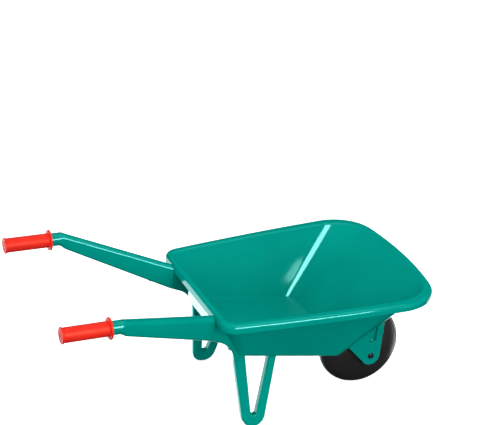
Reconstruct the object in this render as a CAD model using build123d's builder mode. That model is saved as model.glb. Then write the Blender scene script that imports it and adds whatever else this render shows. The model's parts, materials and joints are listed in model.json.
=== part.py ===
"""Child's moulded plastic wheelbarrow: tub, two handles, two V legs and one balloon wheel.

Frame: +X forward towards the wheel, +Y left, +Z up, millimetres.
Origin: on the ground, under the middle of the whole object.
"""
from build123d import *
from math import atan, cos, hypot, sin
import os

# ---------------------------------------------------------------- driving dimensions
HANDLE_END_X = -380.6
WALL = 3.0
FIT_GAP = 0.2

# rim of the tub: a rounded trapezium in a plane that rises towards the front
RIM_REAR_X = -70.6
RIM_SIDE_END_X = 341.5
RIM_BOW = 26.0
RIM_SIDE_BOW = 5.0
RIM_REAR_HALF = 160.0
RIM_FRONT_HALF = 191.0
RIM_REAR_RADIUS = 27.0
RIM_FRONT_RADIUS = 84.0
RIM_REAR_HEIGHT = 228.9
RIM_SLOPE = 0.10
SKIRT_DEPTH = 16.0
SKIRT_SLOPE = 0.107
LIP_EDGE_RADIUS = 2.6

# mouth of the tub: the inner edge of the lip, in the same plane
MOUTH_REAR_X = -60.0
MOUTH_SIDE_END_X = 331.0
MOUTH_BOW = 24.0
MOUTH_SIDE_BOW = 5.5
MOUTH_REAR_HALF = 144.0
MOUTH_FRONT_HALF = 168.0
MOUTH_REAR_RADIUS = 22.0
MOUTH_FRONT_RADIUS = 76.0
LIP_INNER_RADIUS = 5.0

# floor of the tub: its underside falls a little towards the front
FLOOR_REAR_X = -25.6
FLOOR_FRONT_X = 202.5
FLOOR_BOW = 6.0
FLOOR_SIDE_BOW = 1.0
FLOOR_REAR_HALF = 114.0
FLOOR_FRONT_HALF = 117.5
FLOOR_REAR_RADIUS = 30.0
FLOOR_FRONT_RADIUS = 24.0
FLOOR_REAR_HEIGHT = 142.5
FLOOR_SLOPE = -0.08
FLOOR_EDGE_RADIUS = 7.0
FLOOR_INNER_RADIUS = 8.0

# handles: a sloping round grip stub, a bend, then a deepening hollow beam to the tub
GRIP_LENGTH = 88.0
GRIP_Y = 174.8
GRIP_END_HEIGHT = 247.5
GRIP_SLOPE = 0.08
GRIP_RADIUS = 13.5
GRIP_FLANGE_RADIUS = 19.5
GRIP_FLANGE_THICKNESS = 4.0
GRIP_LIP_RADIUS = 15.0
GRIP_LIP_THICKNESS = 3.0
GRIP_END_WALL = 3.0
GRIP_EDGE_RADIUS = 1.2
STUB_RADIUS = 9.5
COLLAR_RADIUS = 12.5
COLLAR_LENGTH = 17.0
COLLAR_CORNER = 12.45
BEND_X = -271.6
BEND_Y = 174.3
BEAM_START_X = -262.6
BEAM_BEND_TOP = 267.5
BEAM_BEND_BOTTOM = 240.0
BEAM_END_X = -58.0
BEAM_SKIRT_X = -79.9
BEAM_SKIRT_Y = 107.8
BEAM_SKIRT_TOP = 225.0
BEAM_SKIRT_BOTTOM = 178.8
BEAM_WIDTH = 23.0
BEAM_CORNER = 6.0
BEAM_WALL = 3.0
TONGUE_LENGTH = 68.0
TONGUE_FRONT_X = -39.6

# V legs, in a plane that leans in towards the tub; outline points are (x, height up that plane)
LEG_FOOT_Y = 127.0
LEG_LEAN_SLOPE = 0.19
LEG_THICKNESS = 15.5
LEG_EDGE_RADIUS = 3.0
GAP_EDGE_RADIUS = 2.0
FOOT_X = 27.2
FOOT_RADIUS = 23.5
FOOT_FLAT = 0.8
STRUT_TOP_HEIGHT = 147.0
STRUT_REAR_TOP_X = -17.6
STRUT_FRONT_TOP_X = 68.9
GAP_POINTS = ((21.4, 23.0), (1.5, 144.0), (51.6, 144.0), (32.0, 23.0))
GAP_CORNER_RADIUS = 3.8
NECK_UNDER = ((-18.4, 136.0), (-28.8, 151.0), (-41.5, 164.5), (-57.0, 174.4))
NECK_TOP = 216.0
NECK_ROOT = 2.0
NECK_FRONT_X = -17.6
RAIL_THICKNESS = 6.0
RAIL_INNER_Y = 64.0
RAIL_OUTER_Y = 97.0
RAIL_REAR_X = -11.6
RAIL_FRONT_X = 76.4
RAIL_SCREW_X = (0.4, 60.4)
RAIL_SCREW_Y = 76.0

# wheel
WHEEL_X = 298.8
WHEEL_RADIUS = 82.9
WHEEL_HALF_WIDTH = 43.5
WHEEL_WALL = 3.0
HUB_FACE_RADIUS = 24.0
HUB_TUBE_RADIUS = 15.0
HUB_BORE_RADIUS = 11.0
GROOVE_PLACES = (4.0, 12.0, 20.0)
GROOVE_WIDTH = 1.2
GROOVE_DEPTH = 1.0
AXLE_RADIUS = 4.0
RUNNING_GAP = 0.08
BUSH_FLANGE_RADIUS = 15.0
BUSH_FLANGE_THICKNESS = 2.0
BUSH_LENGTH = 20.0
SIDE_PLAY = 0.4
SPACER_RADIUS = 8.0

# fork plates under the nose of the tub
FORK_INNER_Y = 48.5
FORK_THICKNESS = 8.2
FORK_NOSE_RADIUS = 19.3
FORK_REAR_TOP = (200.4, 150.0)
FORK_REAR_KNEE = (207.0, 142.0)
FORK_FRONT_TOP = (314.0, 248.0)
FORK_POCKET = ((287.5, 113.0), (303.2, 113.0), (303.2, 250.0), (282.0, 250.0))
FORK_POCKET_RADIUS = 5.0
FORK_POCKET_DEPTH = 6.2
FORK_FLANGE_WIDTH = 16.0
FORK_FLANGE_THICKNESS = 4.5
NOSE_FOOT_X = 205.0
NOSE_SLOPE = 1.03
NOSE_BOSS_ROOT = 1.5
FORK_FLANGE_START = 14.0
FORK_FLANGE_LENGTH = 98.0
FORK_SCREW_PLACES = (26.0, 98.0)
CAP_RADIUS = 6.0
CAP_SEAT_DEPTH = 2.0
CAP_PROUD = 2.2
CAP_EDGE_RADIUS = 2.0
CAP_ROOF = 1.4

# self-tapping screws and their bosses
SCREW_RADIUS = 1.75
SCREW_HEAD_RADIUS = 3.8
SCREW_HEAD_HEIGHT = 2.6
SCREW_HEAD_EDGE = 1.0
BOSS_RADIUS = 4.5
BEAM_SCREW_X = -105.6
BEAM_SCREW_LENGTH = 16.0
BEAM_SCREW_SEAT = 1.6

PARTS_FOLDER = "parts"


# ---------------------------------------------------------------- derived planes and places
def sloped_plane(x, y, z, slope):
    """Plane through a point whose own x axis rises with the given slope along +X."""
    angle = atan(slope)
    return Plane(origin=(x, y, z), x_dir=(cos(angle), 0, sin(angle)), z_dir=(-sin(angle), 0, cos(angle)))


RIM_STRETCH = hypot(1, RIM_SLOPE)
RIM_PLANE = sloped_plane(0, 0, RIM_REAR_HEIGHT - RIM_SLOPE * RIM_REAR_X, RIM_SLOPE)
SKIRT_PLANE = sloped_plane(RIM_REAR_X, 0, RIM_REAR_HEIGHT - SKIRT_DEPTH, SKIRT_SLOPE)
FLOOR_PLANE = sloped_plane(0, 0, FLOOR_REAR_HEIGHT - FLOOR_SLOPE * FLOOR_REAR_X, FLOOR_SLOPE)
NOSE_FOOT_HEIGHT = FLOOR_REAR_HEIGHT + FLOOR_SLOPE * (NOSE_FOOT_X - FLOOR_REAR_X)
NOSE_PLANE = sloped_plane(NOSE_FOOT_X, 0, NOSE_FOOT_HEIGHT, NOSE_SLOPE)
LEG_LEAN = atan(LEG_LEAN_SLOPE)
LEG_PLANE = Plane(origin=(0, LEG_FOOT_Y, 0), x_dir=(1, 0, 0), z_dir=(0, -cos(LEG_LEAN), -sin(LEG_LEAN)))
GRIP_ANGLE = atan(GRIP_SLOPE)
GRIP_PLANE = Plane(
    origin=(HANDLE_END_X, GRIP_Y, GRIP_END_HEIGHT),
    x_dir=(0, 1, 0),
    z_dir=(cos(GRIP_ANGLE), 0, sin(GRIP_ANGLE)),
)
AXLE_CENTRE = (WHEEL_X, 0, WHEEL_RADIUS)
AXLE_LINE = Axis(AXLE_CENTRE, (0, 1, 0))
AXLE_PLANE = Plane(origin=AXLE_CENTRE, x_dir=(1, 0, 0), z_dir=(0, 1, 0))
AXLE_SECTION = Plane(origin=AXLE_CENTRE, x_dir=(0, 1, 0), z_dir=(1, 0, 0))
HUB_FACE_Y = WHEEL_HALF_WIDTH * (1 - (HUB_FACE_RADIUS / WHEEL_RADIUS) ** 2) ** 0.5
BUSH_END_Y = HUB_FACE_Y + BUSH_FLANGE_THICKNESS
FORK_OUTER_Y = FORK_INNER_Y + FORK_THICKNESS
FORK_SCREW_Y = FORK_OUTER_Y + FORK_FLANGE_WIDTH / 2
CAP_SEAT_Y = FORK_OUTER_Y - CAP_SEAT_DEPTH
CAP_SEAT_PLANE = AXLE_PLANE.offset(CAP_SEAT_Y)
AXLE_HALF_LENGTH = FORK_OUTER_Y + CAP_PROUD - CAP_ROOF
CENTRE = [(0, 0)]


def beam_at(x):
    """Middle of the handle beam at x, as (y, bottom, top)."""
    share = (x - BEND_X) / (BEAM_SKIRT_X - BEND_X)
    middle = BEND_Y + share * (BEAM_SKIRT_Y - BEND_Y)
    bottom = BEAM_BEND_BOTTOM + share * (BEAM_SKIRT_BOTTOM - BEAM_BEND_BOTTOM)
    top = BEAM_BEND_TOP + share * (BEAM_SKIRT_TOP - BEAM_BEND_TOP)
    return middle, bottom, top


def beam_section(x, inset):
    """Rounded section of the handle beam at x, moved inwards by inset."""
    middle, bottom, top = beam_at(x)
    with BuildSketch(Plane.YZ.offset(x)) as section:
        with Locations((middle, (bottom + top) / 2)):
            RectangleRounded(BEAM_WIDTH - 2 * inset, top - bottom - 2 * inset, BEAM_CORNER - inset)
    return section.sketch


def disc(plane, radius, places):
    """Circles of one radius at places on a plane."""
    with BuildSketch(plane) as circles:
        with Locations(*places):
            Circle(radius)
    return circles.sketch


def sleeve(start_y, end_y, outer_radius):
    """Round sleeve that turns freely on the axle, from start_y to end_y."""
    with BuildSketch(AXLE_PLANE.offset(start_y)) as section:
        Circle(outer_radius)
        Circle(AXLE_RADIUS + RUNNING_GAP, mode=Mode.SUBTRACT)
    extrude(section.sketch, amount=end_y - start_y)


def rod(plane, radius, places, length, mode=Mode.ADD):
    """Round rods of one length that stand on a plane at the given places."""
    extrude(disc(plane, radius, places), amount=length, mode=mode)


def tub_outline(plane, xs, bows, halves, radii):
    """Rounded trapezium with bowed sides and front, as a sketch; each pair is (rear, front)."""
    side_bow, front_bow = bows
    left_rear, left_front = zip(xs, halves)
    right_rear, right_front = [(x, -half) for x, half in zip(xs, halves)]
    side_x = sum(xs) / 2
    side_half = sum(halves) / 2 + side_bow
    with BuildSketch(plane) as outline:
        with BuildLine():
            ThreePointArc(right_front, (xs[1] + front_bow, 0), left_front)
            ThreePointArc(left_front, (side_x, side_half), left_rear)
            Line(left_rear, right_rear)
            ThreePointArc(right_rear, (side_x, -side_half), right_front)
        make_face()
        fillet(outline.vertices().sort_by(Axis(plane.origin, plane.x_dir))[:2], radii[0])
        fillet(outline.vertices().sort_by(Axis(plane.origin, plane.x_dir))[-2:], radii[1])
    return outline.sketch


def rim_outline(inset, drop=0):
    """Outer outline of the rim, moved inwards by inset, on the rim plane lowered by drop."""
    return tub_outline(
        RIM_PLANE.offset(-drop),
        (RIM_STRETCH * RIM_REAR_X + inset, RIM_STRETCH * RIM_SIDE_END_X - inset),
        (RIM_SIDE_BOW, RIM_STRETCH * RIM_BOW),
        (RIM_REAR_HALF - inset, RIM_FRONT_HALF - inset),
        (RIM_REAR_RADIUS - inset, RIM_FRONT_RADIUS - inset),
    )


def mouth_outline(inset):
    """Inner edge of the lip, moved inwards by inset, on the rim plane."""
    return tub_outline(
        RIM_PLANE,
        (RIM_STRETCH * MOUTH_REAR_X + inset, RIM_STRETCH * MOUTH_SIDE_END_X - inset),
        (MOUTH_SIDE_BOW, RIM_STRETCH * MOUTH_BOW),
        (MOUTH_REAR_HALF - inset, MOUTH_FRONT_HALF - inset),
        (MOUTH_REAR_RADIUS - inset, MOUTH_FRONT_RADIUS - inset),
    )


def floor_outline(inset, lift):
    """Outline of the floor, moved inwards by inset, on the floor plane raised by lift."""
    return tub_outline(
        FLOOR_PLANE.offset(lift),
        (FLOOR_REAR_X + inset, FLOOR_FRONT_X - inset),
        (FLOOR_SIDE_BOW, FLOOR_BOW),
        (FLOOR_REAR_HALF - inset, FLOOR_FRONT_HALF - inset),
        (FLOOR_REAR_RADIUS - inset, FLOOR_FRONT_RADIUS - inset),
    )


def tub_sections(inset, lift):
    """Floor and mouth sections of the tapered tub's outside, moved inwards by inset."""
    return [floor_outline(inset, lift), mouth_outline(inset - WALL)]


BEAM_SCREW_PLANE = Plane((BEAM_SCREW_X, beam_at(BEAM_SCREW_X)[0], beam_at(BEAM_SCREW_X)[1] + BEAM_SCREW_SEAT))
RAIL_SCREWS = [(x, RAIL_SCREW_Y) for x in RAIL_SCREW_X]
FORK_SCREWS = [(along, FORK_SCREW_Y) for along in FORK_SCREW_PLACES]
RAIL_BOSSES = RAIL_SCREWS + [(x, -y) for x, y in RAIL_SCREWS]
FORK_BOSSES = FORK_SCREWS + [(along, -y) for along, y in FORK_SCREWS]


# ---------------------------------------------------------------- tub
with BuildPart() as tub:
    extrude(rim_outline(0), amount=-SKIRT_DEPTH)
    extrude(rim_outline(WALL, WALL), amount=-SKIRT_DEPTH, mode=Mode.SUBTRACT)
    split(bisect_by=SKIRT_PLANE, keep=Keep.TOP)
    loft(tub_sections(0, 0))
    loft(tub_sections(WALL, WALL), mode=Mode.SUBTRACT)
    lip_top = tub.faces().filter_by(RIM_PLANE).sort_by(Axis.Z)[-1]
    lip_outer_edges = lip_top.outer_wire().edges()
    lip_inner_edges = lip_top.inner_wires()[0].edges()
    floor_faces = tub.faces().filter_by(FLOOR_PLANE).sort_by(Axis.Z)
    fillet(floor_faces[0].edges(), FLOOR_EDGE_RADIUS)
    fillet(floor_faces[-1].edges(), FLOOR_INNER_RADIUS)
    fillet(lip_outer_edges, LIP_EDGE_RADIUS)
    fillet(lip_inner_edges, LIP_INNER_RADIUS)
    # bosses for the screws of the leg rails and of the fork flanges
    rod(FLOOR_PLANE, BOSS_RADIUS, RAIL_BOSSES, -RAIL_THICKNESS)
    rod(NOSE_PLANE.offset(NOSE_BOSS_ROOT), BOSS_RADIUS, FORK_BOSSES, -NOSE_BOSS_ROOT - FORK_FLANGE_THICKNESS)
    rod(FLOOR_PLANE, SCREW_RADIUS, RAIL_BOSSES, -RAIL_THICKNESS, Mode.SUBTRACT)
    rod(NOSE_PLANE, SCREW_RADIUS, FORK_BOSSES, -FORK_FLANGE_THICKNESS, Mode.SUBTRACT)

# room that the tub and its skirt take, for the pieces that are shaped round them
with BuildPart() as tub_room:
    loft(tub_sections(-FIT_GAP, -FIT_GAP))
    extrude(rim_outline(-FIT_GAP, SKIRT_DEPTH + FIT_GAP), amount=SKIRT_DEPTH)


# ---------------------------------------------------------------- V leg with its neck, rail and tongue
with BuildPart() as leg_frame_left:
    with BuildSketch(LEG_PLANE) as v_outline:
        with BuildLine() as v_lines:
            CenterArc((FOOT_X, FOOT_RADIUS - FOOT_FLAT), FOOT_RADIUS, 0, 360)
            Line((STRUT_REAR_TOP_X, STRUT_TOP_HEIGHT), (STRUT_FRONT_TOP_X, STRUT_TOP_HEIGHT))
        make_hull(v_lines.edges())
    extrude(amount=LEG_THICKNESS / 2, both=True)
    side_edges = leg_frame_left.faces().filter_by(LEG_PLANE).edges()
    fillet(side_edges.filter_by(lambda edge: edge.center().Z < STRUT_TOP_HEIGHT / 2), LEG_EDGE_RADIUS)
    with BuildSketch(LEG_PLANE) as gap_outline:
        with BuildLine():
            Polyline(*GAP_POINTS, close=True)
        make_face()
        fillet(gap_outline.vertices(), GAP_CORNER_RADIUS)
    extrude(amount=LEG_THICKNESS, both=True, mode=Mode.SUBTRACT)
    gap_wires = [face.inner_wires()[0] for face in leg_frame_left.faces().filter_by(LEG_PLANE)]
    fillet([edge for wire in gap_wires for edge in wire.edges()], GAP_EDGE_RADIUS)
    with BuildSketch(LEG_PLANE):
        with BuildLine():
            under = Spline(*NECK_UNDER, tangents=((-0.08, 1), (-1, 0.31)))
            Polyline(
                under @ 1,
                ((under @ 1).X, NECK_TOP),
                (NECK_FRONT_X, NECK_TOP),
                (NECK_FRONT_X, STRUT_TOP_HEIGHT),
                (GAP_POINTS[1][0], STRUT_TOP_HEIGHT),
                (GAP_POINTS[1][0] - NECK_ROOT, NECK_UNDER[0][1]),
                under @ 0,
            )
        make_face()
    extrude(amount=LEG_THICKNESS / 2, both=True)
    beam_room = (BEAM_SCREW_X, BEAM_END_X + FIT_GAP)
    loft([beam_section(x, -FIT_GAP) for x in beam_room], mode=Mode.SUBTRACT)
    with BuildSketch(FLOOR_PLANE.offset(-FIT_GAP)):
        with Locations(((RAIL_REAR_X + RAIL_FRONT_X) / 2, (RAIL_INNER_Y + RAIL_OUTER_Y) / 2)):
            RectangleRounded(RAIL_FRONT_X - RAIL_REAR_X, RAIL_OUTER_Y - RAIL_INNER_Y, LEG_EDGE_RADIUS)
    extrude(amount=-RAIL_THICKNESS)
    tongue_ends = (BEAM_END_X - TONGUE_LENGTH, TONGUE_FRONT_X)
    loft([beam_section(x, BEAM_WALL + FIT_GAP) for x in tongue_ends])
    add(tub_room.part, mode=Mode.SUBTRACT)
    rod(FLOOR_PLANE, BOSS_RADIUS + FIT_GAP, RAIL_SCREWS, -2 * RAIL_THICKNESS, Mode.SUBTRACT)
    rod(BEAM_SCREW_PLANE, SCREW_RADIUS, CENTRE, BEAM_SCREW_LENGTH, Mode.SUBTRACT)
    split(bisect_by=Plane.XY, keep=Keep.TOP)


# ---------------------------------------------------------------- handle arm
with BuildPart() as handle_arm_left:
    with BuildSketch(GRIP_PLANE.offset(GRIP_END_WALL + FIT_GAP)):
        Circle(STUB_RADIUS)
    extrude(amount=GRIP_LENGTH - GRIP_END_WALL)
    with BuildSketch(GRIP_PLANE.offset(GRIP_LENGTH + FIT_GAP)):
        Circle(COLLAR_RADIUS)
    extrude(amount=COLLAR_LENGTH)
    collar_end = GRIP_PLANE.offset(GRIP_LENGTH + FIT_GAP + COLLAR_LENGTH)
    with BuildSketch(collar_end) as collar_section:
        RectangleRounded(2 * COLLAR_RADIUS, 2 * COLLAR_RADIUS, COLLAR_CORNER)
    loft([collar_section.sketch, beam_section(BEAM_START_X, 0)])
    loft([beam_section(BEAM_START_X, 0), beam_section(BEAM_END_X, 0)])
    hollow_ends = (BEAM_START_X + 2 * BEAM_WALL, BEAM_END_X)
    loft([beam_section(x, BEAM_WALL) for x in hollow_ends], mode=Mode.SUBTRACT)
    add(tub_room.part, mode=Mode.SUBTRACT)
    rod(BEAM_SCREW_PLANE, SCREW_HEAD_RADIUS + FIT_GAP, CENTRE, -BEAM_WALL, Mode.SUBTRACT)
    rod(BEAM_SCREW_PLANE, SCREW_RADIUS + FIT_GAP, CENTRE, 2 * BEAM_WALL, Mode.SUBTRACT)


# ---------------------------------------------------------------- soft grip
with BuildPart() as grip_left:
    with BuildSketch(GRIP_PLANE):
        Circle(GRIP_RADIUS)
    extrude(amount=GRIP_LENGTH)
    with BuildSketch(GRIP_PLANE):
        Circle(GRIP_LIP_RADIUS)
    extrude(amount=GRIP_LIP_THICKNESS)
    with BuildSketch(GRIP_PLANE.offset(GRIP_LENGTH - GRIP_FLANGE_THICKNESS)):
        Circle(GRIP_FLANGE_RADIUS)
    extrude(amount=GRIP_FLANGE_THICKNESS)
    round_edges = grip_left.edges().filter_by(GeomType.CIRCLE)
    fillet(round_edges.filter_by(lambda edge: edge.radius > GRIP_RADIUS + 0.1), GRIP_EDGE_RADIUS)
    with BuildSketch(GRIP_PLANE.offset(GRIP_END_WALL)):
        Circle(STUB_RADIUS + RUNNING_GAP)
    extrude(amount=GRIP_LENGTH, mode=Mode.SUBTRACT)


# ---------------------------------------------------------------- fork plate
with BuildPart() as fork_left:
    with BuildSketch(Plane.XZ.offset(-FORK_OUTER_Y)):
        with BuildLine() as fork_lines:
            CenterArc((WHEEL_X, WHEEL_RADIUS), FORK_NOSE_RADIUS, 0, 360)
            Polyline(FORK_REAR_KNEE, FORK_REAR_TOP, FORK_FRONT_TOP)
        make_hull(fork_lines.edges())
    extrude(amount=FORK_THICKNESS)
    with BuildSketch(Plane.XZ.offset(-FORK_OUTER_Y)) as pocket_outline:
        with BuildLine():
            Polyline(*FORK_POCKET, close=True)
        make_face()
        fillet(pocket_outline.vertices(), FORK_POCKET_RADIUS)
    extrude(amount=FORK_POCKET_DEPTH, mode=Mode.SUBTRACT)
    with BuildSketch(NOSE_PLANE.offset(-FORK_FLANGE_THICKNESS)):
        with Locations((FORK_FLANGE_START, FORK_INNER_Y)):
            flange_reach = FORK_THICKNESS + FORK_FLANGE_WIDTH
            Rectangle(FORK_FLANGE_LENGTH, flange_reach, align=(Align.MIN, Align.MIN))
    extrude(amount=2 * FORK_FLANGE_THICKNESS)
    add(tub_room.part, mode=Mode.SUBTRACT)
    rod(NOSE_PLANE, BOSS_RADIUS + FIT_GAP, FORK_SCREWS, -2 * FORK_FLANGE_THICKNESS, Mode.SUBTRACT)
    rod(NOSE_PLANE, BOSS_RADIUS + FIT_GAP, FORK_SCREWS, 2 * FORK_FLANGE_THICKNESS, Mode.SUBTRACT)
    rod(AXLE_PLANE, AXLE_RADIUS + RUNNING_GAP, CENTRE, 2 * FORK_OUTER_Y, Mode.SUBTRACT)
    rod(CAP_SEAT_PLANE, CAP_RADIUS + FIT_GAP, CENTRE, CAP_SEAT_DEPTH, Mode.SUBTRACT)


# ---------------------------------------------------------------- wheel
with BuildPart() as tyre:
    with BuildSketch(AXLE_SECTION) as wheel_section:
        Ellipse(WHEEL_HALF_WIDTH, WHEEL_RADIUS)
        with Locations((0, HUB_BORE_RADIUS)):
            Rectangle(2 * HUB_FACE_Y, WHEEL_RADIUS, align=(Align.CENTER, Align.MIN), mode=Mode.INTERSECT)
    revolve(axis=AXLE_LINE)
    with BuildSketch(AXLE_SECTION):
        Ellipse(WHEEL_HALF_WIDTH - WHEEL_WALL, WHEEL_RADIUS - WHEEL_WALL)
        with Locations((0, HUB_TUBE_RADIUS)):
            Rectangle(2 * HUB_FACE_Y, WHEEL_RADIUS, align=(Align.CENTER, Align.MIN), mode=Mode.INTERSECT)
    revolve(axis=AXLE_LINE, mode=Mode.SUBTRACT)
    with BuildSketch(AXLE_SECTION):
        for place in GROOVE_PLACES:
            groove_floor = WHEEL_RADIUS * (1 - (place / WHEEL_HALF_WIDTH) ** 2) ** 0.5 - GROOVE_DEPTH
            with Locations((place, groove_floor), (-place, groove_floor)):
                Rectangle(GROOVE_WIDTH, 3 * GROOVE_DEPTH, align=(Align.CENTER, Align.MIN))
    revolve(axis=AXLE_LINE, mode=Mode.SUBTRACT)

with BuildPart() as wheel_bush_left:
    sleeve(HUB_FACE_Y - BUSH_LENGTH, HUB_FACE_Y, HUB_BORE_RADIUS)
    sleeve(HUB_FACE_Y, BUSH_END_Y, BUSH_FLANGE_RADIUS)

with BuildPart() as axle:
    with BuildSketch(AXLE_PLANE):
        Circle(AXLE_RADIUS)
    extrude(amount=AXLE_HALF_LENGTH, both=True)

with BuildPart() as axle_spacer_left:
    sleeve(BUSH_END_Y + SIDE_PLAY, FORK_INNER_Y, SPACER_RADIUS)

with BuildPart() as axle_cap_left:
    rod(CAP_SEAT_PLANE, CAP_RADIUS, CENTRE, CAP_SEAT_DEPTH + CAP_PROUD)
    fillet(axle_cap_left.edges().sort_by(Axis.Y)[-1], CAP_EDGE_RADIUS)
    rod(CAP_SEAT_PLANE, AXLE_RADIUS + RUNNING_GAP, CENTRE, AXLE_HALF_LENGTH - CAP_SEAT_Y, Mode.SUBTRACT)


# ---------------------------------------------------------------- screws
def screws(plane, places, shank_length):
    """Pan-head screws whose heads sit under the plane and whose shanks rise along its normal."""
    with BuildPart() as group:
        rod(plane, SCREW_RADIUS, places, shank_length)
        rod(plane, SCREW_HEAD_RADIUS, places, -SCREW_HEAD_HEIGHT)
        fillet(group.faces().sort_by(Axis.Z)[: len(places)].edges(), SCREW_HEAD_EDGE)
    return group.part


with BuildPart() as rail_screws_left:
    add(screws(FLOOR_PLANE.offset(-RAIL_THICKNESS - FIT_GAP), RAIL_SCREWS, RAIL_THICKNESS))

with BuildPart() as fork_screws_left:
    add(screws(NOSE_PLANE.offset(-FORK_FLANGE_THICKNESS), FORK_SCREWS, FORK_FLANGE_THICKNESS))

with BuildPart() as arm_screw_left:
    add(screws(BEAM_SCREW_PLANE, CENTRE, BEAM_SCREW_LENGTH))


# ---------------------------------------------------------------- write every piece
left_pieces = {
    "leg_frame": leg_frame_left,
    "handle_arm": handle_arm_left,
    "grip": grip_left,
    "fork": fork_left,
    "wheel_bush": wheel_bush_left,
    "axle_spacer": axle_spacer_left,
    "axle_cap": axle_cap_left,
    "rail_screws": rail_screws_left,
    "fork_screws": fork_screws_left,
    "arm_screw": arm_screw_left,
}
pieces = {"tub": tub.part, "tyre": tyre.part, "axle": axle.part}
for name, piece in left_pieces.items():
    with BuildPart() as twin:
        mirror(piece.part, about=Plane.XZ)
    pieces[name + "_left"] = piece.part
    pieces[name + "_right"] = twin.part

os.makedirs(PARTS_FOLDER, exist_ok=True)
for name, piece in pieces.items():
    piece.label = name
    export_step(piece, PARTS_FOLDER + "/" + name + ".step")
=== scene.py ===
"""Toy wheelbarrow in glossy moulded plastic: looks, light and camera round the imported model.

+X forward to the wheel, +Y left, +Z up, origin on the ground under the middle.
Shapes are in millimetres and made in metres; camera, lights and textures are in metres.
"""
import json
import math

import bmesh
import bpy
from mathutils import Matrix, Vector


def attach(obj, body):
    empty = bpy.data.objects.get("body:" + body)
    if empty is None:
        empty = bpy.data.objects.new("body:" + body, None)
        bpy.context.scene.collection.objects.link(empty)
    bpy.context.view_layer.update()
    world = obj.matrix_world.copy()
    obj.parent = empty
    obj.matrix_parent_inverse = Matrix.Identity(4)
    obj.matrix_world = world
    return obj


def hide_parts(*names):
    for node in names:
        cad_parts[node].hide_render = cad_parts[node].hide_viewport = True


MM = 0.001
WALL = 3.0
FIT_GAP = 0.2

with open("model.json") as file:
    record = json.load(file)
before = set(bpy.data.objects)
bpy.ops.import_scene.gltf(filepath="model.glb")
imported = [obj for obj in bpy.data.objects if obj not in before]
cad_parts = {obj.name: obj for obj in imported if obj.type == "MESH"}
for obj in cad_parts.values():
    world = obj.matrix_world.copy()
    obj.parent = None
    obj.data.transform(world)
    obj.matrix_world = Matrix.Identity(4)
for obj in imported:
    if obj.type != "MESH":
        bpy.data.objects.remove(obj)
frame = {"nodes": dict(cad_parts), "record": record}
nodes = frame["nodes"]
scene = bpy.context.scene
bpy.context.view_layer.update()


# ---------------------------------------------------------------- camera
CAMERA_PLACE = Vector((-1.2073, -2.4513, 1.5417))
CAMERA_AZIMUTH = math.radians(-26.65)
CAMERA_ELEVATION = math.radians(23.04)
CAMERA_ROLL = math.radians(8.44)
CAMERA_LENS = 117.6
CAMERA_SENSOR = 36.0


def make_camera():
    data = bpy.data.cameras.new("camera")
    data.lens = CAMERA_LENS
    data.sensor_width = CAMERA_SENSOR
    camera = bpy.data.objects.new("camera", data)
    scene.collection.objects.link(camera)
    scene.camera = camera
    flat = math.cos(CAMERA_ELEVATION)
    back = Vector((
        math.sin(CAMERA_AZIMUTH) * flat,
        -math.cos(CAMERA_AZIMUTH) * flat,
        math.sin(CAMERA_ELEVATION),
    ))
    right = Vector((math.cos(CAMERA_AZIMUTH), math.sin(CAMERA_AZIMUTH), 0))
    up = back.cross(right)
    rolled_right = math.cos(CAMERA_ROLL) * right + math.sin(CAMERA_ROLL) * up
    rolled_up = math.cos(CAMERA_ROLL) * up - math.sin(CAMERA_ROLL) * right
    turn = Matrix((rolled_right, rolled_up, back)).transposed()
    camera.matrix_world = Matrix.Translation(CAMERA_PLACE) @ turn.to_4x4()


# ---------------------------------------------------------------- materials
NOISE_LOW = 0.3
NOISE_HIGH = 0.7
CLOUD_DETAIL = 3
SMUDGE_DETAIL = 5
GRAIN_DETAIL = 2
SMUDGES_PER_CLOUD = 3


def noise(tree, coordinates, scale, detail):
    texture = tree.nodes.new("ShaderNodeTexNoise")
    texture.inputs["Scale"].default_value = scale
    texture.inputs["Detail"].default_value = detail
    tree.links.new(coordinates, texture.inputs["Vector"])
    return texture.outputs["Fac"]


def spread(tree, factor, low, high):
    """Map the middle of a noise to a range of values."""
    mapped = tree.nodes.new("ShaderNodeMapRange")
    mapped.inputs["From Min"].default_value = NOISE_LOW
    mapped.inputs["From Max"].default_value = NOISE_HIGH
    mapped.inputs["To Min"].default_value = low
    mapped.inputs["To Max"].default_value = high
    tree.links.new(factor, mapped.inputs["Value"])
    return mapped.outputs["Result"]


def new_material(name, shades, roughness, grain, grain_height, cloud=9.0):
    """Procedural finish: two close shades and two roughnesses in soft clouds, and a fine grain as bump."""
    material = bpy.data.materials.new(name)
    material.use_nodes = True
    tree = material.node_tree
    shader = tree.nodes["Principled BSDF"]
    coordinates = tree.nodes.new("ShaderNodeTexCoord").outputs["Object"]
    clouds = noise(tree, coordinates, cloud, CLOUD_DETAIL)
    colours = tree.nodes.new("ShaderNodeMix")
    colours.data_type = "RGBA"
    colours.inputs["A"].default_value = (*shades[0], 1)
    colours.inputs["B"].default_value = (*shades[1], 1)
    tree.links.new(spread(tree, clouds, 0, 1), colours.inputs["Factor"])
    tree.links.new(colours.outputs["Result"], shader.inputs["Base Color"])
    smudges = noise(tree, coordinates, SMUDGES_PER_CLOUD * cloud, SMUDGE_DETAIL)
    tree.links.new(spread(tree, smudges, *roughness), shader.inputs["Roughness"])
    bump = tree.nodes.new("ShaderNodeBump")
    bump.inputs["Distance"].default_value = grain_height
    tree.links.new(noise(tree, coordinates, grain, GRAIN_DETAIL), bump.inputs["Height"])
    tree.links.new(bump.outputs["Normal"], shader.inputs["Normal"])
    return material


def settings(material, **values):
    """Set inputs of the shader by name, with underscores for spaces."""
    shader = material.node_tree.nodes["Principled BSDF"]
    for name, value in values.items():
        shader.inputs[name.replace("_", " ")].default_value = value


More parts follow.
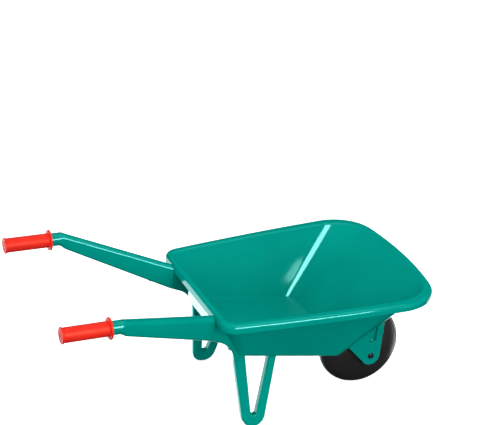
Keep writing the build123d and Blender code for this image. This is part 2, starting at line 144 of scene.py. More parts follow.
GREENS = ((0, 0.262, 0.212), (0, 0.288, 0.232))
REDS = ((0.72, 0.016, 0.010), (0.80, 0.024, 0.014))
WHEEL_BLACKS = ((0.016, 0.015, 0.015), (0.026, 0.024, 0.024))
BUSH_BLACKS = ((0.014, 0.014, 0.014), (0.024, 0.024, 0.024))
CAP_BLACKS = ((0.018, 0.013, 0.026), (0.028, 0.020, 0.040))
ZINCS = ((0.56, 0.57, 0.58), (0.66, 0.66, 0.65))
PAPERS = ((0.80, 0.80, 0.80), (0.82, 0.82, 0.82))

green = new_material("green_plastic", GREENS, (0.055, 0.10), 260, 0.00001)
settings(green, Specular_Tint=(0.35, 1, 0.95, 1))
red = new_material("red_grip", REDS, (0.42, 0.52), 900, 0.00003, 30)
settings(red, Specular_Tint=(1, 0.25, 0.15, 1))
settings(red, Subsurface_Weight=0.1, Subsurface_Scale=0.004, Subsurface_Radius=(1.0, 0.25, 0.2))
black = new_material("black_wheel", WHEEL_BLACKS, (0.3, 0.42), 700, 0.00004, 20)
bush = new_material("black_bush", BUSH_BLACKS, (0.42, 0.55), 900, 0.00003, 40)
cap = new_material("black_cap", CAP_BLACKS, (0.16, 0.24), 900, 0.00001, 60)
steel = new_material("zinc_steel", ZINCS, (0.24, 0.38), 1500, 0.00002, 60)
settings(steel, Metallic=1)
LOOKS = {
    "tub_plastic": green,
    "grip_rubber": red,
    "wheel_plastic": black,
    "bush_plastic": bush,
    "cap_plastic": cap,
    "steel": steel,
}
SLOTS = {part["node"]: part["material_slot"] for part in frame["record"]["subparts"]}
for node_name, slot_name in SLOTS.items():
    for slot in nodes[node_name].material_slots:
        slot.material = LOOKS[slot_name]


# ---------------------------------------------------------------- mesh helpers
LONGEST_REACH = 0.49
NO_RADIUS = 0.02


def add_piece(name, mesh, node_name, body="frame"):
    """Finish a mesh as a piece that stands for a CAD node and takes its material slot."""
    for polygon in mesh.polygons:
        polygon.use_smooth = True
    piece = bpy.data.objects.new(name, mesh)
    scene.collection.objects.link(piece)
    mesh.materials.append(LOOKS[SLOTS[node_name]])
    weighted = piece.modifiers.new("weighted_normals", "WEIGHTED_NORMAL")
    weighted.keep_sharp = True
    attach(piece, body)
    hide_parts(node_name)


def mesh_from(name, points, faces, sharp_angle=60):
    """Mesh in metres from points in millimetres, with its sharp edges marked."""
    mesh = bpy.data.meshes.new(name)
    mesh.from_pydata([Vector(point) * MM for point in points], [], faces)
    shell = bmesh.new()
    shell.from_mesh(mesh)
    bmesh.ops.recalc_face_normals(shell, faces=shell.faces)
    mark_sharp(shell, sharp_angle)
    shell.to_mesh(mesh)
    shell.free()
    return mesh


def mark_sharp(shell, degrees):
    """Mark the edges whose faces meet at more than an angle."""
    for edge in shell.edges:
        if len(edge.link_faces) == 2:
            edge.smooth = edge.calc_face_angle(0) < math.radians(degrees)


def grid_faces(rows, columns, close_rows=False):
    """Quads between rows of points; every row is a closed ring of columns points."""
    faces = []
    for row in range(rows if close_rows else rows - 1):
        below = (row + 1) % rows * columns
        for column in range(columns):
            beside = (column + 1) % columns
            faces.append((row * columns + column, row * columns + beside, below + beside, below + column))
    return faces


def corner_arc(start, corner, end, radius, steps):
    """Points of a smooth arc that rounds a corner between two straight or gently bowed lines."""
    before = (start - corner).normalized()
    after = (end - corner).normalized()
    turn = math.pi - before.angle(after)
    reach = radius * math.tan(turn / 2)
    reach = min(reach, LONGEST_REACH * (start - corner).length, LONGEST_REACH * (end - corner).length)
    hold = reach * (1 - 4 / 3 * math.tan(turn / 4) / math.tan(turn / 2))
    arrive, leave = corner + before * reach, corner + after * reach
    return bezier((arrive, corner + before * hold, corner + after * hold, leave), steps)


def bezier(controls, steps):
    """Points of a cubic curve through the first and last of four controls."""
    points = []
    for step in range(steps + 1):
        t = step / steps
        weights = ((1 - t) ** 3, 3 * t * (1 - t) ** 2, 3 * t * t * (1 - t), t ** 3)
        points.append(sum((control * weight for control, weight in zip(controls, weights)), 0 * controls[0]))
    return points


def rounded_line(points, radii, steps):
    """Polyline whose inner corners are rounded with the given radii; the ends stay."""
    line = [points[0]]
    for before, corner, after, radius in zip(points, points[1:], points[2:], radii):
        line.extend(corner_arc(before, corner, after, radius, steps))
    line.append(points[-1])
    return line


def lathe(rings, origin, axis, across, segments):
    """Points and faces of a turned shape; rings are (distance along the axis, radius)."""
    third = axis.cross(across)
    points = []
    for along, radius in rings:
        for segment in range(segments):
            angle = 2 * math.pi * segment / segments
            outwards = math.cos(angle) * across + math.sin(angle) * third
            points.append(origin + axis * along + radius * outwards)
    return points, grid_faces(len(rings), segments)


# ---------------------------------------------------------------- tub
RIM_SLOPE = 0.10
RIM_REAR = (-70.6, 228.9)
SKIRT_DEPTH = 16.0
SKIRT_FALL = 0.007
FLOOR_SLOPE = -0.08
FLOOR_REAR = (-25.6, 142.5)
RIM = {"xs": (-70.6, 341.5), "bows": (5.0, 26.0), "halves": (160.0, 191.0), "radii": (27.0, 84.0)}
MOUTH = {"xs": (-60.0, 331.0), "bows": (5.5, 24.0), "halves": (144.0, 168.0), "radii": (22.0, 76.0)}
FLOOR = {"xs": (-25.6, 202.5), "bows": (1.0, 6.0), "halves": (114.0, 117.5), "radii": (30.0, 24.0)}
FLOOR_MARGIN = 22.0
FLOOR_INNER_RADIUS = 11.0
FLOOR_OUTER_RADIUS = 7.0
MOUTH_RADIUS = 6.5
LIP_RADIUS = 9.0
EDGE_RADIUS = 1.0
FRONT_STEPS = 28
SIDE_STEPS = 30
REAR_STEPS = 16
CORNER_STEPS = 18
PROFILE_STEPS = 7
DENSE_STEPS = 200
CORNER_SAMPLE = 40


def bowed(start, end, bow, steps):
    """Points along a shallow arc from start to end that bulges to the right of its direction by bow."""
    run = end - start
    outwards = Vector((run.y, -run.x)).normalized()
    shares = [step / steps for step in range(steps + 1)]
    return [start + run * t + outwards * (4 * bow * t * (1 - t)) for t in shares]


def trapezium(shape, inset):
    """Rounded trapezium with bowed sides and front as a ring of points, always with the same count."""
    rear_x = shape["xs"][0] + inset
    front_x = shape["xs"][1] - inset
    rear, front = (half - inset for half in shape["halves"])
    side_bow, front_bow = shape["bows"]
    rear_radius, front_radius = (radius - inset for radius in shape["radii"])
    corners = [
        Vector((front_x, -front)),
        Vector((front_x, front)),
        Vector((rear_x, rear)),
        Vector((rear_x, -rear)),
    ]
    bows = (front_bow, side_bow, 0, side_bow)
    counts = (FRONT_STEPS, SIDE_STEPS, REAR_STEPS, SIDE_STEPS)
    radii = (front_radius, rear_radius, rear_radius, front_radius)
    sides = [bowed(corners[i], corners[(i + 1) % 4], bows[i], DENSE_STEPS) for i in range(4)]
    reaches = []
    for i in range(4):
        here, following = sides[i], sides[(i + 1) % 4]
        turn = (here[-1] - here[-CORNER_SAMPLE]).angle(following[CORNER_SAMPLE] - following[0])
        reaches.append(radii[i] * math.tan(turn / 2))
    ring = []
    for i in range(4):
        trimmed = trim(sides[i], reaches[i - 1], reaches[i], counts[i])
        following = trim(sides[(i + 1) % 4], reaches[i], reaches[(i + 1) % 4], counts[(i + 1) % 4])
        ring.extend(trimmed[:-1])
        leave = (trimmed[-1] - trimmed[-2]).normalized()
        arrive = (following[1] - following[0]).normalized()
        turn = leave.angle(arrive)
        hold = 4 / 3 * math.tan(turn / 4) * radii[i]
        controls = (trimmed[-1], trimmed[-1] + leave * hold, following[0] - arrive * hold, following[0])
        ring.extend(bezier(controls, CORNER_STEPS)[:-1])
    return ring


def trim(line, start_cut, end_cut, steps):
    """Resample a dense line evenly after cutting a length off each end."""
    lengths = [0]
    for before, after in zip(line, line[1:]):
        lengths.append(lengths[-1] + (after - before).length)
    points = []
    place = 0
    for step in range(steps + 1):
        target = start_cut + (lengths[-1] - start_cut - end_cut) * step / steps
        while lengths[place + 1] < target:
            place += 1
        share = (target - lengths[place]) / (lengths[place + 1] - lengths[place])
        points.append(line[place].lerp(line[place + 1], share))
    return points


def on_slope(ring, start, slope, lift=0, tilt=0):
    """Lift a flat ring onto a plane that starts at (x, z) and rises along +X."""
    return [Vector((p.x, p.y, start[1] + lift + (slope + tilt) * (p.x - start[0]))) for p in ring]


def make_tub():
    """Tub shell as one sheet: floor, wall, lip, hanging skirt, and back down its outer side."""
    rim_rings = [
        on_slope(trapezium(MOUTH, 0), RIM_REAR, RIM_SLOPE),
        on_slope(trapezium(RIM, 0), RIM_REAR, RIM_SLOPE),
        on_slope(trapezium(RIM, 0), RIM_REAR, RIM_SLOPE, -SKIRT_DEPTH, SKIRT_FALL),
        on_slope(trapezium(RIM, WALL), RIM_REAR, RIM_SLOPE, -SKIRT_DEPTH, SKIRT_FALL),
        on_slope(trapezium(RIM, WALL), RIM_REAR, RIM_SLOPE, -WALL),
        on_slope(trapezium(MOUTH, -WALL), RIM_REAR, RIM_SLOPE, -WALL),
    ]
    inside = [
        on_slope(trapezium(FLOOR, FLOOR_MARGIN), FLOOR_REAR, FLOOR_SLOPE, WALL),
        on_slope(trapezium(FLOOR, WALL), FLOOR_REAR, FLOOR_SLOPE, WALL),
    ]
    outside = [
        on_slope(trapezium(FLOOR, 0), FLOOR_REAR, FLOOR_SLOPE),
        on_slope(trapezium(FLOOR, FLOOR_MARGIN), FLOOR_REAR, FLOOR_SLOPE),
    ]
    radii = (
        FLOOR_INNER_RADIUS,
        MOUTH_RADIUS,
        LIP_RADIUS,
        EDGE_RADIUS,
        EDGE_RADIUS,
        EDGE_RADIUS,
        EDGE_RADIUS,
        FLOOR_OUTER_RADIUS,
    )
    profiles = [rounded_line(stops, radii, PROFILE_STEPS) for stops in zip(*inside, *rim_rings, *outside)]
    stations = len(profiles)
    rows = list(zip(*profiles))
    points = [point for row in rows for point in row]
    faces = grid_faces(len(rows), stations)
    faces.append(tuple(range(stations)))
    faces.append(tuple(range(len(points) - stations, len(points))))
    add_piece("tub_shell", mesh_from("tub_shell", points, faces), "tub")


# ---------------------------------------------------------------- handle arms
GRIP_AXIS_START = Vector((-380.6, 174.8, 247.5))
GRIP_SLOPE = 0.08
ARM_START_X = -292.4
COLLAR_RADIUS = 12.5
COLLAR_END_X = -279.0
BEAM_START_X = -264.0
BEND_X = -271.6
SKIRT_X = -79.9
ARM_END_X = -71.3
ARM_WIDTH = 23.0
ARM_CORNER = 7.5
ARM_RIDGE = 0.9
ARM_RING = 56
BEND_PITCH = 2
BEND_STATIONS = 28
BEAM_STATIONS = 14
ARM_SHARP = 40
THINNEST = 0.01
LEVEL = 0.001
ARM_Y = (174.3, 107.8)
ARM_TOP = (267.5, 225.0)
ARM_BOTTOM = (240.0, 178.8)


def along_arm(x, ends):
    """Value at x on a straight line with the given values at the bend and at the skirt."""
    return ends[0] + (x - BEND_X) / (SKIRT_X - BEND_X) * (ends[1] - ends[0])


def smooth_share(x, start, end):
    """Share from 0 at start to 1 at end that leaves and arrives gently."""
    share = min(max((x - start) / (end - start), 0), 1)
    return share * share * (3 - 2 * share)


def mixed(a, b, share):
    return a + share * (b - a)


def beam_ring(x, y, bottom, top, half_width, corner, ridge):
    """Ring of points round a tall rounded section whose sides bulge into a ridge."""
    half_height = (top - bottom) / 2
    ring = []
    for step in range(ARM_RING):
        angle = 2 * math.pi * step / ARM_RING
        across = math.cos(angle)
        up = math.sin(angle)
        rise = 0 if abs(up) < LEVEL else math.copysign(half_height - corner, up) + corner * up
        reach = math.copysign(half_width - corner - ridge * abs(rise) / half_height, across) + corner * across
        ring.append(Vector((x, y + reach, bottom + half_height + rise)))
    return ring


def arm_ring(x):
    """Section of the arm at x: a round collar that turns into a tall beam with ridged sides."""
    share = smooth_share(x, COLLAR_END_X, BEAM_START_X)
    axis_z = GRIP_AXIS_START.z + GRIP_SLOPE * (x - GRIP_AXIS_START.x)
    y = mixed(GRIP_AXIS_START.y, along_arm(x, ARM_Y), share)
    top = mixed(axis_z + COLLAR_RADIUS, along_arm(x, ARM_TOP), share)
    bottom = mixed(axis_z - COLLAR_RADIUS, along_arm(x, ARM_BOTTOM), share)
    half_width = mixed(COLLAR_RADIUS, ARM_WIDTH / 2, share)
    corner = mixed(COLLAR_RADIUS, ARM_CORNER, share)
    corner = min(corner, half_width - THINNEST, (top - bottom) / 2 - THINNEST)
    return beam_ring(x, y, bottom, top, half_width, corner, share * ARM_RIDGE)


def make_arm(side, sign):
    xs = [ARM_START_X + BEND_PITCH * step for step in range(BEND_STATIONS)]
    xs += [xs[-1] + (ARM_END_X - xs[-1]) * step / BEAM_STATIONS for step in range(1, BEAM_STATIONS + 1)]
    rows = [arm_ring(x) for x in xs]
    points = [Vector((p.x, sign * p.y, p.z)) for row in rows for p in row]
    faces = grid_faces(len(rows), ARM_RING)
    faces.append(tuple(range(ARM_RING)))
    faces.append(tuple(range(len(points) - ARM_RING, len(points))))
    name = "handle_arm_skin_" + side
    add_piece(name, mesh_from(name, points, faces, ARM_SHARP), "handle_arm_" + side)


# ---------------------------------------------------------------- grips
GRIP_SEGMENTS = 96
GRIP_ROUNDING_STEPS = 6
# (distance along the grip, radius) of the corners of its section, and the radii of the inner ones
GRIP_STOPS = (
    (0.9, 0.0),
    (0.9, 2.2),
    (0.0, 2.6),
    (0.0, 7.6),
    (0.6, 8.2),
    (0.6, 10.4),
    (0.0, 11.0),
    (0.0, 15.0),
    (3.0, 15.0),
    (3.4, 13.5),
    (84.0, 13.5),
    (84.0, 19.5),
    (88.0, 19.5),
    (88.0, 12.0),
    (88.0, 9.6),
)
GRIP_RADII = (0.6, 0.4, 0.4, 0.4, 0.4, 0.4, 1.3, 1.3, 1.2, 1.6, 1.5, 1.4, 0.5)


def make_grip(side, sign):
    line = rounded_line([Vector(stop) for stop in GRIP_STOPS], GRIP_RADII, GRIP_ROUNDING_STEPS)
    axis = Vector((1, 0, GRIP_SLOPE)).normalized()
    origin = Vector((GRIP_AXIS_START.x, sign * GRIP_AXIS_START.y, GRIP_AXIS_START.z))
    rings = [(p.x, max(p.y, NO_RADIUS)) for p in line]
    points, faces = lathe(rings, origin, axis, Vector((0, 1, 0)), GRIP_SEGMENTS)
    faces.append(tuple(range(GRIP_SEGMENTS)))
    name = "grip_sleeve_" + side
    add_piece(name, mesh_from(name, points, faces), "grip_" + side)


# ---------------------------------------------------------------- wheel
AXLE = Vector((298.8, 0, 82.9))
WHEEL_RADIUS = 82.9
WHEEL_HALF_WIDTH = 43.5
HUB_FACE_RADIUS = 24.0
HUB_BORE_RADIUS = 11.0
GROOVE_PLACES = (4.0, 12.0, 20.0)
GROOVE_HALF_WIDTH = 0.9
GROOVE_DEPTH = 0.7
RIB_PITCH = 1.7
RIB_HEIGHT = 0.06
TYRE_SEGMENTS = 160
TYRE_ROWS = 420
TYRE_ROOM = 0.02
TYRE_SHARP = 50
HUB_RIM = 1


def make_tyre():
    """Balloon wheel with a flat hub face, three grooves a side and fine ribs."""
    rings = []
    limit = math.acos(HUB_FACE_RADIUS / WHEEL_RADIUS)
    for row in range(TYRE_ROWS + 1):
        angle = limit * (2 * row / TYRE_ROWS - 1)
        y = WHEEL_HALF_WIDTH * math.sin(angle)
        radius = WHEEL_RADIUS * math.cos(angle)
        nearest = min(abs(abs(y) - place) for place in GROOVE_PLACES)
        groove = GROOVE_DEPTH * max(0, 1 - (nearest / GROOVE_HALF_WIDTH) ** 2)
        rib = RIB_HEIGHT * (1 - math.cos(2 * math.pi * radius / RIB_PITCH)) / 2
        rings.append((y, radius - groove - rib - TYRE_ROOM))
    hub_y = WHEEL_HALF_WIDTH * math.sin(limit)
    rings = [(-hub_y, HUB_BORE_RADIUS), (-hub_y, HUB_FACE_RADIUS - HUB_RIM)] + rings
    rings += [(hub_y, HUB_FACE_RADIUS - HUB_RIM), (hub_y, HUB_BORE_RADIUS)]
    points, faces = lathe(rings, AXLE, Vector((0, 1, 0)), Vector((1, 0, 0)), TYRE_SEGMENTS)
    first = range(TYRE_SEGMENTS)
    last = len(points) - TYRE_SEGMENTS
    faces += [(i, (i + 1) % TYRE_SEGMENTS, last + (i + 1) % TYRE_SEGMENTS, last + i) for i in first]
    add_piece("balloon_tyre", mesh_from("balloon_tyre", points, faces, TYRE_SHARP), "tyre", "wheel")


# ---------------------------------------------------------------- V legs
LEG_FOOT_Y = 127.0
LEG_LEAN = math.atan(0.19)
LEG_HALF_THICKNESS = 7.75
LEG_EDGE_RADIUS = 4.2
GAP_EDGE_RADIUS = 3.0
EDGE_STEPS = 6
FOOT_CENTRE = Vector((27.2, 22.7))
FOOT_RADIUS = 23.5
FOOT_STEPS = 40
LEG_SHARP = 50
STRUT_REAR_TOP = Vector((-17.6, 147.0))
STRUT_FRONT_TOP = Vector((68.9, 147.0))
GAP_CORNERS = ((21.4, 23.0), (1.5, 144.0), (51.6, 144.0), (32.0, 23.0))
GAP_CORNER_RADIUS = 3.8
GAP_CORNER_STEPS = 8
NECK_CURVE = ((-52.0, 173.0), (-36.0, 168.0), (-22.5, 151.5), (-18.4, 130.0))
STRUT_CUT_TOPS = ((68.9, 155.0), (4.0, 156.0), (-14.0, 156.0), (-18.4, 130.0))
LEAST_MITRE = 0.5
ELBOW_START_X = -71.0
ELBOW_TOP = ((-71.0, 217.0), (-36.0, 216.0), (-2.0, 170.0), (3.4, 126.0))
ELBOW_STATIONS = 30
ELBOW_BITE = 1.0
RAIL_LOW = (-6.0, 64.0)
RAIL_HIGH = (76.4, 97.0)
RAIL_THICKNESS = 6.0
RAIL_CORNER_RADIUS = 3.0
RAIL_CORNER_STEPS = 5
RAIL_BEVELS = ((1.2, 0), (0.35, 0.35), (0, 1.2), (0, RAIL_THICKNESS))
GROUND_FLAT = 0.02


def tangent_angle(centre, radius, point, turn):
    """Angle at which the line from a point outside touches a circle; turn picks the side."""
    away = point - centre
    return math.atan2(away.y, away.x) + turn * math.acos(radius / away.length)


def leg_outline():
    """Outline of the V in the plane of the leg, anticlockwise; its top is cut off by the tub."""
    front = tangent_angle(FOOT_CENTRE, FOOT_RADIUS, STRUT_FRONT_TOP, -1)
    rear = tangent_angle(FOOT_CENTRE, FOOT_RADIUS, STRUT_REAR_TOP, 1)
    rear -= 2 * math.pi if rear > front else 0
    ring = [Vector(stop) for stop in STRUT_CUT_TOPS]
    for step in range(FOOT_STEPS + 1):
        angle = rear + (front - rear) * step / FOOT_STEPS
        ring.append(FOOT_CENTRE + FOOT_RADIUS * Vector((math.cos(angle), math.sin(angle))))
    return ring


def rounded_ring(corners, radius, steps):
    """Closed ring whose corners are all rounded."""
    ring = []
    for place, corner in enumerate(corners):
        following = corners[(place + 1) % len(corners)]
        ring.extend(corner_arc(corners[place - 1], corner, following, radius, steps))
    return ring


def shifted(ring, inwards):
    """Ring moved to the left of its direction by a distance, with mitred corners."""
    moved = []
    for place, point in enumerate(ring):
        arrive = (point - ring[place - 1]).normalized()
        leave = (ring[(place + 1) % len(ring)] - point).normalized()
        along = (arrive + leave).normalized()
        moved.append(point + Vector((-along.y, along.x)) * inwards / max(along.dot(leave), LEAST_MITRE))
    return moved


def plate_rows(ring, half_thickness, radius):
    """Rows of (flat point, depth) round the edge of a plate, from one face to the other."""
    rows = []
    for step in range(2 * EDGE_STEPS + 1):
        angle = math.pi / 2 * (step / EDGE_STEPS - 1)
        depth = (half_thickness - radius) * (1 if step > EDGE_STEPS else -1) + radius * math.sin(angle)
        rows.append([(p, depth) for p in shifted(ring, radius * (1 - math.cos(angle)))])
        if step == EDGE_STEPS:
            rows.append([(p, -depth) for p in shifted(ring, 0)])
    return rows


def plate(name, outer, hole, half_thickness, radii, place):
    """Flat moulding with rounded edges: an anticlockwise outline with a clockwise hole."""
    points = []
    faces = []
    loops = []
    for ring, radius in ((outer, radii[0]), (hole, radii[1])):
        rows = plate_rows(ring, half_thickness, radius)
        start = len(points)
        count = len(ring)
        points += [place(flat, depth) for row in rows for flat, depth in row]
        faces += [tuple(start + i for i in face) for face in grid_faces(len(rows), count)]
        loops.append((start, start + (len(rows) - 1) * count, count))
    mesh = bpy.data.meshes.new(name)
    mesh.from_pydata([point * MM for point in points], [], faces)
    shell = bmesh.new()
    shell.from_mesh(mesh)
    shell.verts.ensure_lookup_table()
    for face_side in (0, 1):
        chosen = {shell.verts[loop[face_side] + i] for loop in loops for i in range(loop[2])}
        edges = [edge for edge in shell.edges if edge.verts[0] in chosen and edge.verts[1] in chosen]
        bmesh.ops.triangle_fill(shell, use_beauty=True, use_dissolve=False, edges=edges)
    bmesh.ops.recalc_face_normals(shell, faces=shell.faces)
    shell.to_mesh(mesh)
    shell.free()
    return mesh


def lofted(name, rings):
    """Closed solid through rings with the same count of points."""
    points = [point for ring in rings for point in ring]
    count = len(rings[0])
    faces = grid_faces(len(rings), count)
    faces += [tuple(range(count)), tuple(range(len(points) - count, len(points)))]
    return mesh_from(name, points, faces)


def carved(mesh, cutters):
    """Mesh minus the cutters, with its sharp edges marked."""
    body = bpy.data.objects.new("carving", mesh)
    scene.collection.objects.link(body)
    helpers = [body]
    for cutter in cutters:
        tool = bpy.data.objects.new("cutter", cutter)
        scene.collection.objects.link(tool)
        helpers.append(tool)
        cut = body.modifiers.new("cut", "BOOLEAN")
        cut.operation = "DIFFERENCE"
        cut.solver = "EXACT"
        cut.object = tool
    bpy.context.view_layer.update()
    result = bpy.data.meshes.new_from_object(body.evaluated_get(bpy.context.evaluated_depsgraph_get()))
    for helper in helpers:
        bpy.data.objects.remove(helper)
    shell = bmesh.new()
    shell.from_mesh(result)
    mark_sharp(shell, LEG_SHARP)
    shell.to_mesh(result)
    shell.free()
    result.materials.clear()
    return result


def tub_room(gap):
    """Cutters for the room of the tub's walls and of its skirt, with a gap round it."""
    walls = lofted("wall_room", [
        on_slope(trapezium(FLOOR, -gap), FLOOR_REAR, FLOOR_SLOPE, -gap),
        on_slope(trapezium(MOUTH, -WALL - gap), RIM_REAR, RIM_SLOPE),
    ])
    skirt = lofted("skirt_room", [
        on_slope(trapezium(RIM, -gap), RIM_REAR, RIM_SLOPE, -SKIRT_DEPTH - gap),
        on_slope(trapezium(RIM, -gap), RIM_REAR, RIM_SLOPE, SKIRT_DEPTH),
    ])
    return walls, skirt


def rail_rows(sign):
    """Rounded slab under the tub floor, as rings from its lower to its upper face."""
    corners = [
        Vector((RAIL_LOW[0], RAIL_LOW[1])),
        Vector((RAIL_HIGH[0], RAIL_LOW[1])),
        Vector((RAIL_HIGH[0], RAIL_HIGH[1])),
        Vector((RAIL_LOW[0], RAIL_HIGH[1])),
    ]
    ring = rounded_ring(corners, RAIL_CORNER_RADIUS, RAIL_CORNER_STEPS)
    rows = []
    for inset, rise in RAIL_BEVELS:
        base = FLOOR_REAR[1] - FIT_GAP - (RAIL_THICKNESS - rise)
        row = shifted(ring, inset)
        rows.append([Vector((p.x, sign * p.y, base + FLOOR_SLOPE * (p.x - FLOOR_REAR[0]))) for p in row])
    return rows


def elbow_rows(sign):
    """Elbow that carries the end of the arm down into the strut, as rings from the arm to the strut."""
    neck = [Vector((x, along * math.cos(LEG_LEAN))) for x, along in NECK_CURVE]
    under = [Vector((ELBOW_START_X, along_arm(ELBOW_START_X, ARM_BOTTOM)))] + bezier(neck, ELBOW_STATIONS)
    over = bezier([Vector(stop) for stop in ELBOW_TOP], ELBOW_STATIONS + 1)
    start_y = along_arm(ELBOW_START_X, ARM_Y)
    end_y = LEG_FOOT_Y - math.tan(LEG_LEAN) * under[-1].y
    rows = []
    for station, (low, high) in enumerate(zip(under, over)):
        share = smooth_share(station, 0, ELBOW_STATIONS + 1)
        middle = (low + high) / 2
        height = (high - low).length
        up = (high - low).normalized()
        half_width = mixed(ARM_WIDTH / 2, LEG_HALF_THICKNESS - FIT_GAP, share)
        corner = mixed(ARM_CORNER, LEG_EDGE_RADIUS, share)
        y = mixed(start_y, end_y, share)
        row = []
        for p in beam_ring(0, y, 0, height, half_width, corner, (1 - share) * ARM_RIDGE):
            flat = middle + up * (p.z - height / 2)
            lean = share * math.tan(LEG_LEAN) * (flat.y - middle.y)
            row.append(Vector((flat.x, sign * (p.y - lean), flat.y)))
        rows.append(row)
    return rows


def make_leg(side, sign):
    """V leg cut to the room under the tub, with its elbow and its rail."""
    def place(flat, depth):
        height = flat.y * math.cos(LEG_LEAN) + depth * math.sin(LEG_LEAN)
        across = LEG_FOOT_Y - flat.y * math.sin(LEG_LEAN) + depth * math.cos(LEG_LEAN)
        return Vector((flat.x, sign * across, max(height, GROUND_FLAT)))

    gap = rounded_ring([Vector(corner) for corner in GAP_CORNERS], GAP_CORNER_RADIUS, GAP_CORNER_STEPS)
    radii = (LEG_EDGE_RADIUS, GAP_EDGE_RADIUS)
    leg = plate("leg", leg_outline(), gap, LEG_HALF_THICKNESS, radii, place)
    leg = carved(leg, tub_room(FIT_GAP))
    shell = bmesh.new()
    shell.from_mesh(leg)
    shell.from_mesh(carved(lofted("elbow", elbow_rows(sign)), tub_room(-ELBOW_BITE)))
    shell.from_mesh(lofted("rail", rail_rows(sign)))
    mark_sharp(shell, LEG_SHARP)
    shell.to_mesh(leg)
    shell.free()
    add_piece("leg_frame_skin_" + side, leg, "leg_frame_" + side)


# ---------------------------------------------------------------- softened copies of moulded CAD pieces
SOFT_MERGE = 0.01
SOFT_FLAT_DEGREES = 0.6
SOFT_CORNER = 0.6
SOFT_SEGMENTS = 3
SOFT_SHARP = 45
FORK_SOFTENING = 0.8


def make_softened(node_name, width):
    """Copy of a CAD piece whose sharp edges are rounded as a moulding's are."""
    shell = bmesh.new()
    shell.from_mesh(nodes[node_name].data)
    bmesh.ops.remove_doubles(shell, verts=shell.verts, dist=SOFT_MERGE * MM)
    flat = math.radians(SOFT_FLAT_DEGREES)
    bmesh.ops.dissolve_limit(shell, angle_limit=flat, verts=shell.verts, edges=shell.edges)
    inner = [edge for edge in shell.edges if len(edge.link_faces) == 2]
    sharp = [edge for edge in inner if edge.calc_face_angle(0) > SOFT_CORNER]
    bmesh.ops.bevel(
        shell,
        geom=sharp,
        offset=width * MM,
        offset_type="OFFSET",
        segments=SOFT_SEGMENTS,
        profile=0.5,
        affect="EDGES",
        clamp_overlap=False,
    )
    mark_sharp(shell, SOFT_SHARP)
    mesh = bpy.data.meshes.new(node_name + "_soft")
    shell.to_mesh(mesh)
    shell.free()
    add_piece(node_name + "_soft", mesh, node_name)


# ---------------------------------------------------------------- floor and light
PAPER_HALF = 14.0
PAPER_GLOW = 0.75
HORIZON_LOW = -0.05
HORIZON_HIGH = 0.5
DOME_ABOVE = 1.10
DOME_BELOW = 0.22
LIGHT_AIM = Vector((0.05, 0, 0.15))
WHITE = (1.0, 1.0, 1.0)
PALE_CYAN = (0.75, 1.0, 1.0)
# name, direction, distance, size, radiance, what it shows as, colour
LIGHTS = (
    ("key", (0.0, -0.87, 0.49), 2.6, (1.75, 0.90), 20, "mirror", WHITE),
    ("front", (0.0, -0.94, 0.34), 2.6, (1.4, 1.4), 6.0, "matt", WHITE),
    ("rear", (-0.96, -0.1, 0.12), 2.6, (1.4, 1.4), 3.0, "matt", WHITE),
    ("patch", (0.5, -0.84, 0.16), 2.6, (0.5, 0.42), 4, "mirror", WHITE),
    ("low_far", (0.0, 0.83, -0.50), 3.0, (5.0, 1.8), 3.0, "mirror", PALE_CYAN),
    ("low_right", (0.85, 0.43, -0.28), 3.0, (2.4, 1.6), 2, "mirror", WHITE),
    ("ceiling", (0.1, 0.0, 1.0), 3.0, (3.0, 2.0), 0.6, "mirror", WHITE),
)


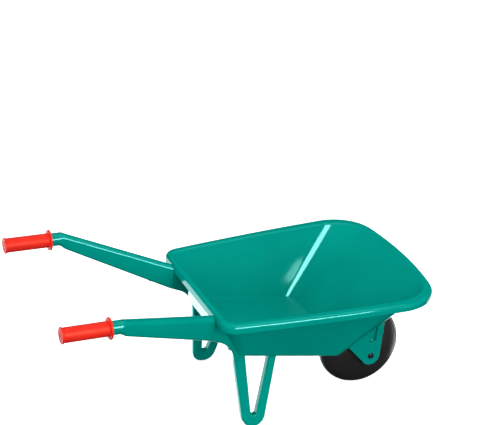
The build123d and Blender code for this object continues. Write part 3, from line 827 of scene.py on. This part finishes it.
def make_floor():
    """White paper that only the camera sees."""
    half = PAPER_HALF
    corners = [(-half, -half, 0), (half, -half, 0), (half, half, 0), (-half, half, 0)]
    mesh = bpy.data.meshes.new("floor")
    mesh.from_pydata(corners, [], [(0, 1, 2, 3)])
    floor = bpy.data.objects.new("floor", mesh)
    scene.collection.objects.link(floor)
    paper = new_material("white_floor", PAPERS, (0.6, 0.7), 400, 0.00002)
    settings(paper, Specular_IOR_Level=0.1, Emission_Color=(1, 1, 1, 1), Emission_Strength=PAPER_GLOW)
    mesh.materials.append(paper)
    floor.visible_diffuse = False
    floor.visible_glossy = False
    floor.visible_shadow = False


def make_light(name, direction, distance, size, radiance, shows, colour):
    """Soft box with the given radiance, which is only mirrored in the object or only lights it."""
    data = bpy.data.lights.new(name, "AREA")
    data.shape = "RECTANGLE"
    data.size, data.size_y = size
    data.energy = radiance * math.pi * size[0] * size[1]
    data.color = colour
    light = bpy.data.objects.new(name, data)
    scene.collection.objects.link(light)
    light.visible_camera = False
    light.visible_diffuse = shows == "matt"
    light.visible_glossy = shows == "mirror"
    ray = Vector(direction).normalized()
    light.location = LIGHT_AIM + ray * distance
    light.rotation_mode = "QUATERNION"
    light.rotation_quaternion = ray.to_track_quat("Z", "Y")


def make_world(above, below):
    """White dome that lights the object but isn't mirrored in it, bright above and dim below."""
    world = bpy.data.worlds.new("world")
    world.use_nodes = True
    tree = world.node_tree
    background = tree.nodes["Background"]
    background.inputs["Color"].default_value = (1, 1, 1, 1)
    direction = tree.nodes.new("ShaderNodeTexCoord").outputs["Generated"]
    parts = tree.nodes.new("ShaderNodeSeparateXYZ")
    tree.links.new(direction, parts.inputs["Vector"])
    strength = tree.nodes.new("ShaderNodeMapRange")
    strength.inputs["From Min"].default_value = HORIZON_LOW
    strength.inputs["From Max"].default_value = HORIZON_HIGH
    strength.inputs["To Min"].default_value = below
    strength.inputs["To Max"].default_value = above
    tree.links.new(parts.outputs["Z"], strength.inputs["Value"])
    tree.links.new(strength.outputs["Result"], background.inputs["Strength"])
    world.cycles_visibility.glossy = False
    scene.world = world


make_tub()
make_tyre()
for side, sign in (("left", 1), ("right", -1)):
    make_arm(side, sign)
    make_grip(side, sign)
    make_leg(side, sign)
    make_softened("fork_" + side, FORK_SOFTENING)
make_camera()
make_floor()
make_world(DOME_ABOVE, DOME_BELOW)
for light_facts in LIGHTS:
    make_light(*light_facts)
scene.view_settings.view_transform = "Standard"
